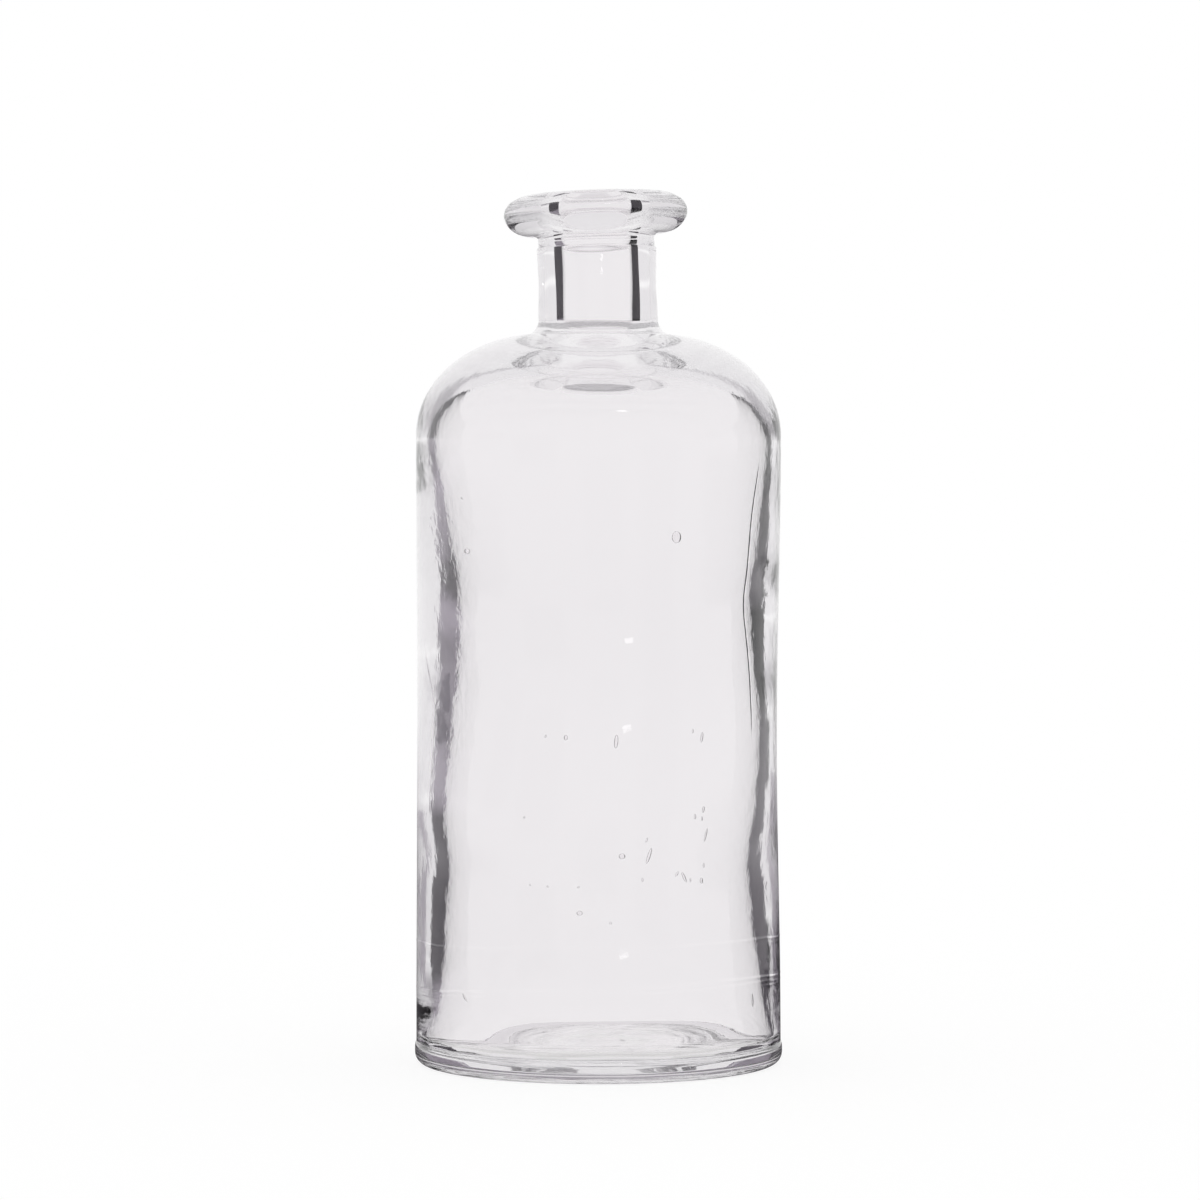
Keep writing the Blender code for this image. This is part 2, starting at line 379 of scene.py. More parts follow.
# %% Points of the bottle
CHILL_HEIGHT = 0.16
CHILL_ACROSS = 5.1
CHILL_ACROSS_BEND = (0.8, 4.3)
CHILL_DEEP = 2.1
CHILL_DEEP_SHIFT = 1.0
CHILL_DEEP_BEND = (0.9, 6.2)
CHILL_CENTRE = 10.0
LIP_LEAN_START = PARTING_HEIGHT - 4.0


def chill_marks(x, y):
    """The cosine of x over a length, times that of y over a shorter one.

    Each cosine's angle is shifted by a bend times the cosine of the other place.
    """
    across_bend, across_length = CHILL_ACROSS_BEND
    deep_bend, deep_length = CHILL_DEEP_BEND
    across = np.cos(x / CHILL_ACROSS + across_bend * np.cos(y / across_length))
    bend = deep_bend * np.cos(x / deep_length)
    return CHILL_HEIGHT * across * np.cos(y / CHILL_DEEP + CHILL_DEEP_SHIFT + bend)


x = radius * np.cos(angle)
y = radius * np.sin(angle)
on_floor = is_cavity[:, None] & (height < FLOOR + FLOOR_CORNER)
chill = chill_marks(x, y) * np.clip(radius / CHILL_CENTRE, 0.0, 1.0)
z = height + np.where(on_floor, chill, 0.0)
z = z + math.tan(LIP_LEAN) * x * blend(height, LIP_LEAN_START, LIP_BOTTOM)
x = x - WAIST_BOW * waist(height) * (~is_cavity[:, None])
x = x - math.tan(NECK_LEAN) * np.maximum(height - SHOULDER_TOP, 0.0)
points = np.stack([x, y, z], axis=2) / MM_PER_METRE
print("grid of", points.shape[0], "rows and", points.shape[1], "columns")

# %% [markdown]
# ## One closed mesh
# The grid has a point for each section point and each turn. The first and the last row lie on the
# axis, so each becomes a single point with a fan of triangles, and the mesh is closed.

# %% Bottle mesh
def turned_mesh(grid):
    """Points and faces: quads between neighbouring rows and columns, and a fan at each pole."""
    rows, columns = grid.shape[:2]
    ring = np.arange(columns)
    after = (ring + 1) % columns
    starts = (np.arange(rows - 3) * columns)[:, None]
    corners = [starts + ring, starts + columns + ring, starts + columns + after, starts + after]
    quads = np.stack(corners, axis=2).reshape(-1, 4) + 1
    count = (rows - 2) * columns
    first_fan = np.stack([np.zeros_like(ring), ring + 1, after + 1], axis=1)
    last_row = 1 + count - columns
    last_pole = np.full_like(ring, count + 1)
    last_fan = np.stack([last_row + ring, last_pole, last_row + after], axis=1)
    return flatten(grid), first_fan.tolist() + quads.tolist() + last_fan.tolist()


def flatten(grid):
    """The grid's values row by row, with one value for each pole."""
    between = grid[1:-1].reshape(-1, *grid.shape[2:])
    return np.concatenate([grid[0, :1], between, grid[-1, :1]])


shell_points, shell_faces = turned_mesh(points)
print("the bottle has", len(shell_points), "points and", len(shell_faces), "faces")

# %% [markdown]
# ## Seeds
# Small gas bubbles, which glass makers call seeds, freeze into the wall as it cools. Each is a tiny
# hollow in the glass, drawn out and tilted by the flow, and flattened between the two faces of the
# wall. A hollow is modelled as a closed skin that faces the gas, in the same mesh as the rest of
# the glass. Each row of the table gives its place across and up the front wall, its width, its
# length and its tilt in degrees.

# %% Seeds
SEEDS = (
    (-34.1, 140.5, 2.0, 1.6, 0), (-35.5, 154.6, 0.5, 0.9, -50), (20.2, 144.3, 2.6, 3.2, 0),
    (-13.7, 91.8, 0.5, 0.9, 20), (-8.5, 91.5, 1.0, 1.4, 0), (4.6, 90.5, 1.1, 3.6, 5),
    (24.6, 92.9, 0.5, 1.2, 0), (27.0, 91.2, 0.8, 2.8, 8), (6.1, 60.2, 1.7, 1.6, 0),
    (13.1, 60.2, 0.9, 4.4, 18), (12.5, 64.4, 0.5, 1.4, 20), (11.4, 53.9, 0.5, 1.2, 0),
    (22.3, 54.2, 0.8, 3.0, -25), (23.9, 53.4, 0.5, 1.2, 0), (26.8, 53.1, 0.9, 1.6, 0),
    (20.4, 55.2, 0.6, 1.6, 30), (28.0, 65.2, 0.6, 3.8, 15), (27.4, 72.0, 0.7, 1.8, 10),
    (25.2, 70.2, 0.6, 1.5, 0), (27.0, 69.6, 0.5, 1.3, 0), (27.4, 57.1, 0.5, 1.4, 0),
    (-17.8, 52.4, 0.5, 0.6, 0), (-13.2, 52.1, 0.6, 0.6, 0), (-5.2, 52.1, 0.6, 0.6, 0),
    (-19.3, 70.2, 0.5, 0.6, 0), (-4.9, 45.2, 1.6, 1.3, 0), (3.1, 42.6, 0.6, 0.8, 0),
    (-34.8, 21.3, 0.6, 2.6, -35), (40.1, 19.8, 0.9, 3.6, -4),
)
SEED_DEPTH = 2.6
SEED_FLATNESS = 0.5
SEED_FULL_WIDTH = 1.2


def seed_shells(seeds, rings=7, spokes=10):
    """Ellipsoids: a unit sphere's points times half the sizes, tilted, under the outer face.

    Front to back a seed is half as deep as it is wide, and never more than half SEED_FULL_WIDTH.
    """
    across, up, width, length, tilt = np.array(seeds, float).T[:, :, None, None]
    polar = np.linspace(0.0, np.pi, rings + 2)[1:-1, None]
    turn = np.linspace(0.0, 2 * np.pi, spokes, endpoint=False)[None, :]
    sideways = width / 2 * np.sin(polar) * np.cos(turn)
    thickness = np.minimum(width, SEED_FULL_WIDTH) * SEED_FLATNESS
    inwards = thickness / 2 * np.sin(polar) * np.sin(turn)
    lengthways = length / 2 * np.cos(polar) * np.ones_like(turn)
    lean = np.radians(tilt)
    right = across + sideways * np.cos(lean) + lengthways * np.sin(lean)
    high = up - sideways * np.sin(lean) + lengthways * np.cos(lean)
    depth = np.sqrt((BODY_RADIUS - SEED_DEPTH) ** 2 - across**2) - inwards
    body = np.stack([right, -depth, high], axis=3).reshape(len(seeds), -1, 3)
    reach = [length / 2 * np.sin(lean), 0 * lean, length / 2 * np.cos(lean)]
    tip = np.stack(reach, axis=3).reshape(-1, 1, 3)
    middle = body.mean(axis=1, keepdims=True)
    verts = np.concatenate([middle + tip, body, middle - tip], axis=1)
    ring = np.arange(spokes)
    after = (ring + 1) % spokes
    starts = 1 + spokes * np.arange(rings - 1)[:, None]
    corners = [starts + ring, starts + after, starts + spokes + after, starts + spokes + ring]
    quads = np.stack(corners, axis=2).reshape(-1, 4)
    last = 1 + spokes * (rings - 1)
    foot = np.full_like(ring, last + spokes)
    top_fan = np.stack([np.zeros_like(ring), after + 1, ring + 1], axis=1)
    foot_fan = np.stack([last + ring, last + after, foot], axis=1)
    faces = []
    for first in range(0, verts.shape[0] * verts.shape[1], verts.shape[1]):
        for part in (top_fan, quads, foot_fan):
            faces += (part + first).tolist()
    return verts.reshape(-1, 3) / MM_PER_METRE, faces


seed_points, seed_faces = seed_shells(SEEDS)
print("seeds:", len(SEEDS), "with", len(seed_faces), "faces")

# %% [markdown]
# ## Marks for the finish and the painted shade
# A few numbers on each point tell the glass's shader what it can't know from the shape. The grain
# is strong on the blown wall and almost absent on the moulded side. The haze is a patch on the left
# of the cavity where the glass chilled too early. The fold is a signed distance to the nearest
# crease that the flowing glass laid down, and the crease says how deep it is there, and with its
# sign whether a broken dark line of painted shade is laid along it or it only bends light. The
# underside is tinted darker, partly for its real scuffs and partly as painted shade for the
# shadowed table under the base. The mottled patch on the left of the outside is where the mould's
# skin was worn, and it is laid with dark specks of painted shade.
#
# The folds wander, so each has an angle in degrees at a few heights. Their distance and two ways
# to make a mark come and go, one up the wall and one round it, are worked out first.

# %% Mark helpers
FOLD_HEIGHTS = (60, 77, 91, 101, 110, 118, 126, 134, 152, 165)
FOLD_RIGHT = (-26.0, -26.8, -27.4, -27.8, -28.2, -29.5, -30.9, -30.4, -28.9, -25.9)
FOLD_LEFT = (-156.0, -155.9, -153.5, -153.0, -158.3, -163.0, -166.0, -168.0, -170.0, -172.0)
FOLD_FAR = 6.0


def stretch(start, full, fading, end):
    """The blend up from start to full, less the blend up from fading to end."""
    return blend(height, start, full) - blend(height, fading, end)


def flat_bell(distance, half_width):
    """e to the power of minus the fourth power of the distance over the half width."""
    return np.exp(-((distance / half_width) ** 4))


def fold_distance(angles):
    """The radius times the angle in radians from the fold, which is a length along the wall."""
    return radius * np.radians(degrees - through(height, FOLD_HEIGHTS, angles))


# %% [markdown]
# ## Where the marks lie
# A mark that comes and goes up the wall has four heights: where it starts, where it is full, where
# it fades and where it ends. Round the wall it has a middle and a half width in degrees, where 0 is
# the right side, -90 the front, and 180 the left side. Each mark is a value for the whole grid.

# %% Marks
RIGHT_CREASE = (88, 105, 150, 166)
LEFT_CREASE = (70, 80, 108, 116)
LEFT_SIDE = -90
CHILLED_ANGLE = 180
CHILLED_WIDTH = 50
CHILLED_HEIGHTS = (70, 92, 146, 166)
GRAIN_FRONT = 0.1
GRAIN_CHILLED = 1.2
GRAIN_MOULDED = 0.03
SCUFF_TOP = 2.0
MOTTLE_ANGLE = -147.5
MOTTLE_WIDTH = 7.5
MOTTLE_HEIGHTS = (80, 92, 104, 122)

degrees = np.degrees(np.where(angle > np.pi, angle - 2 * np.pi, angle))
on_left = (degrees < LEFT_SIDE) * np.ones_like(height, bool)
nearest_fold = np.where(on_left, -fold_distance(FOLD_LEFT), fold_distance(FOLD_RIGHT))
fold = np.clip(nearest_fold, -FOLD_FAR, FOLD_FAR)
# Creases in the cavity get a dark line of painted shade; those outside only bend light.
right_crease = stretch(*RIGHT_CREASE) * is_cavity[:, None]
left_crease = stretch(*LEFT_CREASE) * (~is_cavity[:, None])
crease = np.where(on_left, -left_crease, right_crease)
chilled = flat_bell(np.abs(degrees) - CHILLED_ANGLE, CHILLED_WIDTH) * stretch(*CHILLED_HEIGHTS)
blown_wall = is_cavity[:, None] & (height < SHOULDER_TOP)
blown_grain = (GRAIN_FRONT + (1 - GRAIN_FRONT) * cosine**2) * (1.0 + GRAIN_CHILLED * chilled)
grain = np.where(blown_wall, blown_grain, GRAIN_MOULDED)
haze = np.where(blown_wall, chilled, 0.0)
# The underside, painted darker: its real scuffs, and painted shade for the shadowed table under the
# base.
scuffed_and_shaded = ~is_cavity[:, None] & (height < SCUFF_TOP) & (radius < RING_INSIDE)
# The worn patch, on which dark specks of painted shade are laid.
patch = flat_bell(degrees - MOTTLE_ANGLE, MOTTLE_WIDTH) * stretch(*MOTTLE_HEIGHTS)
worn_patch_shade = np.where(is_cavity[:, None], 0.0, patch)
MARKS = (
    ("grain", grain, 0.0), ("haze", haze, 0.0), ("fold", fold, FOLD_FAR),
    ("crease", crease, 0.0), ("scuffed_and_shaded", scuffed_and_shaded, 0.0), ("worn_patch_shade", worn_patch_shade, 0.0),
)
for label, values, _ in MARKS:
    print("mark", label, "from", round(float(values.min()), 2), "to", round(float(values.max()), 2))

# %% [markdown]
# ## The piece
# The shell and the seeds become one mesh, because they are one piece of glass. A row of the marks
# has a name, its values on the shell and the one value that it has on every seed.

# %% Glass piece
def placed(name, mesh):
    """An object of the mesh in the scene, at the origin, unturned and unscaled."""
    piece = bpy.data.objects.new(name, mesh)
    scene.collection.objects.link(piece)
    return piece


def glass_piece(name):
    """One mesh from the turned shell and the seeds, with the marks as point attributes."""
    mesh = bpy.data.meshes.new(name)
    seed_corners = [[corner + len(shell_points) for corner in face] for face in seed_faces]
    verts = np.concatenate([shell_points, seed_points])
    mesh.from_pydata(verts.tolist(), [], shell_faces + seed_corners)
    mesh.shade_smooth()
    for label, values, on_seeds in MARKS:
        marks = np.concatenate([flatten(values * 1.0), np.full(len(seed_points), on_seeds)])
        attribute = mesh.attributes.new(label, "FLOAT", "POINT")
        attribute.data.foreach_set("value", marks.astype(np.float32))
    return placed(name, mesh)


bottle = glass_piece("bottle_glass")
print("glass piece:", len(bottle.data.vertices), "points")

# %% [markdown]
# ## The glass
# Clear glass is a surface that bends light and a body that takes a little of it. The surface is a
# Principled shader with full transmission. The body takes more where light runs a long way inside
# the wall. Tints and depths come from the marks on the points, so the shader needs only a few kinds
# of node: sums and products, a smooth step, a mark's value and a mix of two colours.

# %% Node helpers
WHITE = (1.0, 1.0, 1.0, 1.0)


def new_material(name):
    """A material with nodes, its tree and its Principled shader."""
    material = bpy.data.materials.new(name)
    material.use_nodes = True
    tree = material.node_tree
    return material, tree, tree.nodes["Principled BSDF"]


def make_dull(shader):
    """Fully rough and without a mirrored layer, as paper is."""
    shader.inputs["Roughness"].default_value = 1.0
    shader.inputs["Specular IOR Level"].default_value = 0.0


def feed(tree, socket, value):
    """Link the socket to another, or set it to a plain value."""
    if isinstance(value, bpy.types.NodeSocket):
        tree.links.new(value, socket)
    else:
        socket.default_value = value


def math_node(tree, operation, *values):
    """A Math node on sockets or numbers."""
    node = tree.nodes.new("ShaderNodeMath")
    node.operation = operation
    for socket, value in zip(node.inputs, values):
        feed(tree, socket, value)
    return node.outputs[0]


def step_node(tree, value, low, high, low_to=0.0, high_to=1.0):
    """A smooth step from low_to at low to high_to at high."""
    node = tree.nodes.new("ShaderNodeMapRange")
    node.interpolation_type = "SMOOTHSTEP"
    tree.links.new(value, node.inputs["Value"])
    ends = (("From Min", low), ("From Max", high), ("To Min", low_to), ("To Max", high_to))
    for name, number in ends:
        node.inputs[name].default_value = number
    return node.outputs["Result"]


def mark_node(tree, label):
    """The value of a mark on the mesh's points."""
    node = tree.nodes.new("ShaderNodeAttribute")
    node.attribute_name = label
    return node.outputs["Fac"]


def tint_node(tree, factor, first, second):
    """The first colour at 0 and the second at 1, where either may be a socket."""
    node = tree.nodes.new("ShaderNodeMix")
    node.data_type = "RGBA"
    tree.links.new(factor, node.inputs[0])
    feed(tree, node.inputs[6], first)
    feed(tree, node.inputs[7], second)
    return node.outputs[2]


# %% [markdown]
# ## The surface's finish and painted shade
# The grain is a noise with four finer layers, whose slopes stay below a few hundredths. It frays
# the edges of the dark stripes, because it tips the wall a little one way and the other. The folds
# are low ridges half a millimetre wide, too fine for the mesh. Along the creases in the cavity a
# dark line, broken where that noise is low, is painted into the colour as painted shade. The
# mottled patch shows only where the same noise is high, which breaks it into specks of painted
# shade. The underside's darker tint is partly its real scuffs and partly painted shade for the
# shadowed table under the base. The mirrored light is tinted down to under a third, which is less
# than real glass has. That is a choice for the look, not a measured value.

# %% Clear glass
GRAIN_PROUD = 0.00005
GRAIN_SCALE = 320.0
GRAIN_LAYERS = 4.0
GRAIN_STRETCH = (1.0, 1.0, 0.7)
HAZE_ROUGHNESS = 0.06
FOLD_PROUD = 0.0001
FOLD_WIDTH = 0.5
FOLD_BREAKS = (0.40, 0.56)
MOTTLE_SPECKS = (1.33, 1.50, 0.0, 0.75)
CLEAN_TINT = (0.934, 0.922, 0.931, 1.0)
# Partly the underside's real scuffs, partly painted shade for the shadowed table under the base.
SCUFF_AND_SHADE_TINT = (0.66, 0.68, 0.65, 1.0)
# Painted shade: the dark colour of the cavity's creases and of the worn patch's specks.
PAINTED_SHADE_TINT = (0.20, 0.19, 0.22, 1.0)
MIRROR_TINT = (0.3, 0.3, 0.3, 1.0)
BODY_TINT = (0.60, 0.59, 0.61, 1.0)
BODY_DENSITY = 5.0
REFRACTION = 1.52


def clear_glass():
    """Colourless glass: smooth and pressed outside, grainy and blown inside, faintly tinted."""
    material, tree, shader = new_material("clear_glass")
    crease = mark_node(tree, "crease")
    distance = math_node(tree, "ABSOLUTE", mark_node(tree, "fold"))
    nearness = step_node(tree, distance, 0.0, FOLD_WIDTH, 1.0, 0.0)
    # The underside's darker tint: real scuffs and painted shade for the shadowed table.
    clean = tint_node(tree, mark_node(tree, "scuffed_and_shaded"), CLEAN_TINT, SCUFF_AND_SHADE_TINT)
    rough = math_node(tree, "MULTIPLY", mark_node(tree, "haze"), HAZE_ROUGHNESS)
    tree.links.new(rough, shader.inputs["Roughness"])
    shader.inputs["Specular Tint"].default_value = MIRROR_TINT
    shader.inputs["IOR"].default_value = REFRACTION
    shader.inputs["Transmission Weight"].default_value = 1.0
    body = tree.nodes.new("ShaderNodeVolumeAbsorption")
    body.inputs["Color"].default_value = BODY_TINT
    body.inputs["Density"].default_value = BODY_DENSITY
    tree.links.new(body.outputs["Volume"], tree.nodes["Material Output"].inputs["Volume"])
    place = tree.nodes.new("ShaderNodeMapping")
    place.inputs["Scale"].default_value = GRAIN_STRETCH
    spot = tree.nodes.new("ShaderNodeTexCoord").outputs["Object"]
    tree.links.new(spot, place.inputs["Vector"])
    grain = tree.nodes.new("ShaderNodeTexNoise")
    grain.inputs["Scale"].default_value = GRAIN_SCALE
    grain.inputs["Detail"].default_value = GRAIN_LAYERS
    tree.links.new(place.outputs["Vector"], grain.inputs["Vector"])
    broken = step_node(tree, grain.outputs["Fac"], *FOLD_BREAKS)
    # Painted shade: a dark line along the cavity's creases, broken by the noise.
    painted_shade = math_node(tree, "MULTIPLY", nearness, math_node(tree, "MAXIMUM", crease, 0.0))
    painted_shade = math_node(tree, "MULTIPLY", painted_shade, broken)
    # Dark specks of painted shade where the noise is high on the worn patch.
    specks = math_node(tree, "ADD", grain.outputs["Fac"], mark_node(tree, "worn_patch_shade"))
    painted_shade = math_node(tree, "MAXIMUM", painted_shade, step_node(tree, specks, *MOTTLE_SPECKS))
    tree.links.new(tint_node(tree, painted_shade, clean, PAINTED_SHADE_TINT), shader.inputs["Base Color"])
    grainy = math_node(tree, "MULTIPLY", grain.outputs["Fac"], mark_node(tree, "grain"))
    deep = math_node(tree, "ABSOLUTE", crease)
    deep = math_node(tree, "MULTIPLY", deep, FOLD_PROUD / GRAIN_PROUD)
    ridge = math_node(tree, "MULTIPLY", nearness, deep)
    bump = tree.nodes.new("ShaderNodeBump")
    bump.inputs["Distance"].default_value = GRAIN_PROUD
    tree.links.new(math_node(tree, "ADD", grainy, ridge), bump.inputs["Height"])
    tree.links.new(bump.outputs["Normal"], shader.inputs["Normal"])
    print("clear glass:", len(tree.nodes), "nodes")
    return material


bottle.data.materials.append(clear_glass())
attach(bottle, "root")
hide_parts("glass_bottle")

# %% [markdown]
# ## The room
# Photographers light clear glass with a bright field: white all round, and dark cards where the
# glass should show an edge. The glass bends the white into its middle and the cards into its rims.
# The far cards here are low, and they draw the heel and the underside of the lip. Each is a
# soft-edged dark patch of the sky with a bearing, a half width, a lowest and a highest angle, all
# in degrees, and a tone. A bearing of 0 is straight behind the bottle, and 90 is to the right.

# %% Dark cards
CARDS = (
    ("front_left", -135, 15, -14, 12, 0.20),
    ("low_right", 90, 14, -28, -7, 0.20),
    ("low_front", 180, 14, -28, -7, 0.45),
    ("low_back", 0, 14, -36, -20, 0.85),
    ("low_left", -90, 14, -36, -20, 0.30),
)
CARD_SIDE_SOFTNESS = 2.5
CARD_END_SOFTNESS = 4
CARD_TINT = (1.03, 0.96, 1.06, 1.0)


def soft_ends(angle, soft, measure):
    """The sine or cosine of the angles in degrees that lie the softness below and above one."""
    return [measure(math.radians(angle + sign * soft)) for sign in (-1, 1)]


def card_shade(tree, split, flat, bearing, half_width, low, high, tone, soft=CARD_END_SOFTNESS):
    """The tone inside a card and 1 outside.

    It is 1 plus the tone less 1, times a step sideways, a step up and a step down.
    """
    east = math_node(tree, "MULTIPLY", split["X"], math.sin(math.radians(bearing)))
    both = math_node(tree, "MULTIPLY_ADD", split["Y"], math.cos(math.radians(bearing)), east)
    inner, outer = soft_ends(half_width, CARD_SIDE_SOFTNESS, math.cos)
    across = step_node(tree, math_node(tree, "DIVIDE", both, flat), outer, inner)
    above = step_node(tree, split["Z"], *soft_ends(low, soft, math.sin))
    below = step_node(tree, split["Z"], *soft_ends(high, soft, math.sin), 1.0, 0.0)
    inside = math_node(tree, "MULTIPLY", across, above)
    inside = math_node(tree, "MULTIPLY", inside, below)
    return math_node(tree, "MULTIPLY_ADD", inside, tone - 1.0, 1.0)


# %% [markdown]
# ## What each ray meets
# The camera and the floor see plain white. A ray that left the glass meets white with cards. One
# that was thrown about many times inside has been mixed by the flaws of the glass, so it meets an
# even tone instead, and one that met no more than three surfaces meets a slightly greyer white. A
# mirrored ray meets white above the table's edge, a dark table below it, and a lamp at the front
# that leaves a glint on the shoulder. A low lamp, a gap and a band show in light that met three
# surfaces, as the light does that slid along the cavity's wall.
#
# The rows below are like those of the cards, and may end with how soft the upper and lower edges
# are. A tone above 1 is a lamp. A depth is one more than the number of surfaces that the ray met
# on its way to the sky.

# %% Sky
RIM_TONE = 0.86
RIM_GAP = (-8, 45, 12, 29, 0.42)
RIM_BAND = (0, 90, 1.6, 4.4, 1.2, 1.0)
LAMP = (164.5, 2.5, 27.5, 30.5, 14.0, 0.5)
LAMP_INSIDE = (164.5, 0.8, 6.4, 7.4, 110.0, 0.3)
MIXED_TONE = 1.02
TABLE_TONE = 0.10
TABLE_EDGE = (-5.0, -2.5)
SLID_DEPTH = 4.0
FEW_DEPTH = 4.5
MIXED_DEPTHS = (5.5, 7.5)
DEPTH_MARGIN = 0.5
STEEPEST_GUARD = 1.0001


def make_room():
    """The strength of the sky: a sum over the kinds of ray, each times its own pattern."""
    world = bpy.data.worlds.new("room")
    scene.world = world
    world.use_nodes = True
    tree = world.node_tree
    path = tree.nodes.new("ShaderNodeLightPath").outputs
    splitter = tree.nodes.new("ShaderNodeSeparateXYZ")
    way = tree.nodes.new("ShaderNodeTexCoord").outputs["Generated"]
    tree.links.new(way, splitter.inputs[0])
    split = splitter.outputs
    flat = math_node(tree, "POWER", split["Z"], 2.0)
    flat = math_node(tree, "SUBTRACT", STEEPEST_GUARD, flat)
    flat = math_node(tree, "SQRT", flat)
    field = 1.0
    for _, *card in CARDS:
        field = math_node(tree, "MULTIPLY", card_shade(tree, split, flat, *card), field)
    mixed = step_node(tree, path["Ray Depth"], *MIXED_DEPTHS)
    shade = tree.nodes.new("ShaderNodeMix")
    tree.links.new(mixed, shade.inputs["Factor"])
    tree.links.new(field, shade.inputs["A"])
    shade.inputs["B"].default_value = MIXED_TONE
    gap = card_shade(tree, split, flat, *RIM_GAP)
    band = card_shade(tree, split, flat, *RIM_BAND)
    glint = card_shade(tree, split, flat, *LAMP_INSIDE)
    pattern = math_node(tree, "MULTIPLY", gap, band)
    pattern = math_node(tree, "MULTIPLY_ADD", pattern, glint, -1.0)
    slid = math_node(tree, "COMPARE", path["Ray Depth"], SLID_DEPTH, DEPTH_MARGIN)
    patterned = math_node(tree, "MULTIPLY_ADD", slid, pattern, 1.0)
    few = math_node(tree, "LESS_THAN", path["Ray Depth"], FEW_DEPTH)
    greyer = math_node(tree, "MULTIPLY_ADD", few, RIM_TONE - 1.0, 1.0)
    rim = math_node(tree, "MULTIPLY", patterned, greyer)
    seen = math_node(tree, "MULTIPLY", shade.outputs["Result"], rim)
    through_glass = math_node(tree, "MULTIPLY", path["Is Transmission Ray"], seen)
    edge = [math.sin(math.radians(angle)) for angle in TABLE_EDGE]
    mirror = step_node(tree, split["Z"], *edge, TABLE_TONE, 1.0)
    glossy, bent = path["Is Glossy Ray"], path["Is Transmission Ray"]
    only_mirrored = math_node(tree, "GREATER_THAN", glossy, bent)
    lamp = card_shade(tree, split, flat, *LAMP)
    mirrored = math_node(tree, "MULTIPLY", mirror, lamp)
    mirrored = math_node(tree, "MULTIPLY", only_mirrored, mirrored)
    plain = math_node(tree, "ADD", path["Is Camera Ray"], path["Is Diffuse Ray"])
    strength = math_node(tree, "ADD", through_glass, mirrored)
    strength = math_node(tree, "ADD", strength, plain)
    background = tree.nodes["Background"]
    tint = tint_node(tree, strength, CARD_TINT, WHITE)
    tree.links.new(tint, background.inputs["Color"])
    tree.links.new(strength, background.inputs["Strength"])
    print("room:", len(CARDS), "far cards and", len(tree.nodes), "nodes")


make_room()

# %% [markdown]
# ## Near cards
# The dark lines along the walls and beside the bore are narrow, crisp, and a little further round
# in the neck than in the body. So the cards that they show stand near the bottle, where a step
# sideways matters. They show only in light that slid along the wall of the cavity, which is light
# that met three surfaces. A narrow card widens the right line where the wall swells, and a low one
# stands behind and greys the rim near the base.
#
# Each row has the two ends seen from above, how soft its sides are, how soft its lower and upper
# edges are, and its tone at a few heights, all in millimetres. The left card is paler halfway up.
# At a card, unlike at the sky, a ray's depth is just the number of surfaces that it met.

# %% Near cards
LEFT_CARD_TONES = (
    (-200, 0.14), (62, 0.14), (80, 0.46), (95, 0.64), (107, 0.60), (118, 0.40),
    (132, 0.40), (142, 0.46), (172, 0.46), (188, 0.11), (330, 0.09),
)
RIGHT_CARD_TONES = (
    (-200, 0.19), (50, 0.19), (78, 0.15), (105, 0.11),
    (124, 0.02), (190, 0.02), (203, 0.08), (330, 0.08),
)
NEAR_CARDS = (
    ("card_left", (-133, 132), (-420, 60), 2, 10, LEFT_CARD_TONES),
    ("card_right", (133, 132), (420, 60), 1.5, 10, RIGHT_CARD_TONES),
    ("card_bulge", (114, 132), (140, 132), 1.5, 10, ((48, 0.04), (104, 0.04))),
    ("card_low", (-90, 100), (90, 100), 9, 3, ((-200, 0.72), (69, 0.72))),
)
CARD_DYE = (1.05, 0.96, 1.1)
THREE_SURFACES = 3.0


def dye_ramp(tree, along, tones):
    """A colour between the tones of the two heights around, by the height along the card."""
    low, high = tones[0][0], tones[-1][0]
    ramp = tree.nodes.new("ShaderNodeValToRGB")
    stops = ramp.color_ramp.elements
    for stop, (height, tone) in enumerate(tones):
        share = (height - low) / (high - low)
        point = stops[stop] if stop < 2 else stops.new(share)
        point.position = share
        point.color = (*(tone * part for part in CARD_DYE), 1.0)
    rise = math_node(tree, "MULTIPLY_ADD", along, 1 / (high - low), -low / (high - low))
    tree.links.new(rise, ramp.inputs["Fac"])
    return ramp.outputs["Color"]


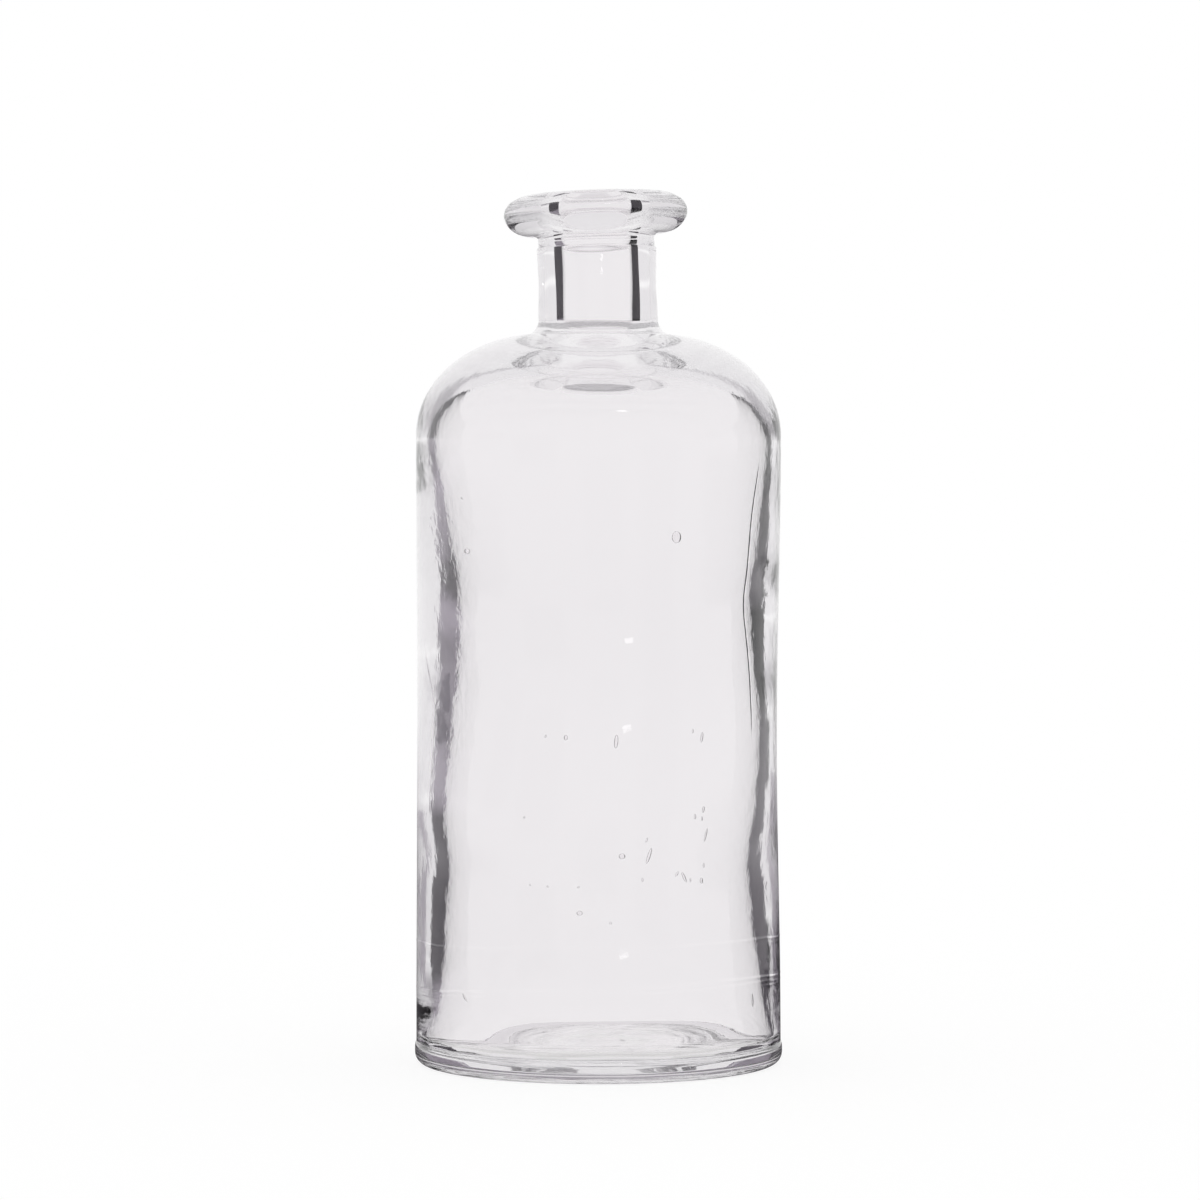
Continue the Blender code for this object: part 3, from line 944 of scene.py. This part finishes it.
def near_card(name, start, end, side_softness, end_softness, tones):
    """A standing sheet with fading edges, clear to all light but that which met three surfaces."""
    low, high = tones[0][0], tones[-1][0]
    length = math.dist(start, end)
    corners = ((*start, low), (*end, low), (*end, high), (*start, high))
    places = (0, low, length, low, length, high, 0, high)
    mesh = bpy.data.meshes.new(name)
    mesh.from_pydata((np.array(corners) / MM_PER_METRE).tolist(), [], [[0, 1, 2, 3]])
    mesh.uv_layers.new(name="place").data.foreach_set("uv", places)
    material, tree, shader = new_material(name)
    make_dull(shader)
    splitter = tree.nodes.new("ShaderNodeSeparateXYZ")
    place = tree.nodes.new("ShaderNodeTexCoord").outputs["UV"]
    tree.links.new(place, splitter.inputs[0])
    tree.links.new(dye_ramp(tree, splitter.outputs["Y"], tones), shader.inputs["Base Color"])
    depth = tree.nodes.new("ShaderNodeLightPath").outputs["Ray Depth"]
    cover = math_node(tree, "COMPARE", depth, THREE_SURFACES, DEPTH_MARGIN)
    for axis, near, far, soft in (("X", 0, length, side_softness), ("Y", low, high, end_softness)):
        rising = step_node(tree, splitter.outputs[axis], near, near + soft)
        falling = step_node(tree, splitter.outputs[axis], far - soft, far, 1.0, 0.0)
        cover = math_node(tree, "MULTIPLY", cover, math_node(tree, "MULTIPLY", rising, falling))
    mix = tree.nodes.new("ShaderNodeMixShader")
    tree.links.new(cover, mix.inputs[0])
    tree.links.new(tree.nodes.new("ShaderNodeBsdfTransparent").outputs[0], mix.inputs[1])
    tree.links.new(shader.outputs[0], mix.inputs[2])
    tree.links.new(mix.outputs[0], tree.nodes["Material Output"].inputs["Surface"])
    mesh.materials.append(material)
    card = placed(name, mesh)
    card.visible_camera = False
    card.visible_diffuse = False
    card.visible_glossy = False
    card.visible_shadow = False
    return card


for card in NEAR_CARDS:
    near_card(*card)
print("near cards:", [card[0] for card in NEAR_CARDS])

# %% [markdown]
# ## The floor
# A white floor catches the bottle's soft shadow. Part of its white is its own for the camera, as
# on a lit table, so the shadow stays faint. Rays that have come through the glass don't see it,
# because they read the sheets and cards of the sky instead. Its reach is in metres.

# %% Floor
FLOOR_REACH = 6.0
FLOOR_CORNERS = 96
FLOOR_GLOW = 0.86


def make_floor():
    """A white disc under the bottle: the reach times the cosine and the sine of an even angle."""
    around = np.linspace(0.0, 2 * np.pi, FLOOR_CORNERS, endpoint=False)
    rim = [FLOOR_REACH * np.cos(around), FLOOR_REACH * np.sin(around), np.zeros_like(around)]
    mesh = bpy.data.meshes.new("floor")
    mesh.from_pydata(np.stack(rim, axis=1).tolist(), [], [list(range(FLOOR_CORNERS))])
    material, tree, shader = new_material("white_floor")
    lit = 1 - FLOOR_GLOW
    shader.inputs["Base Color"].default_value = (lit, lit, lit, 1.0)
    make_dull(shader)
    shader.inputs["Emission Color"].default_value = WHITE
    to_camera = tree.nodes.new("ShaderNodeLightPath").outputs["Is Camera Ray"]
    glow = math_node(tree, "MULTIPLY", to_camera, FLOOR_GLOW)
    tree.links.new(glow, shader.inputs["Emission Strength"])
    mesh.materials.append(material)
    floor = placed("floor", mesh)
    floor.visible_transmission = False
    floor.visible_glossy = False
    return floor


make_floor()
print("floor:", FLOOR_REACH, "m in radius")
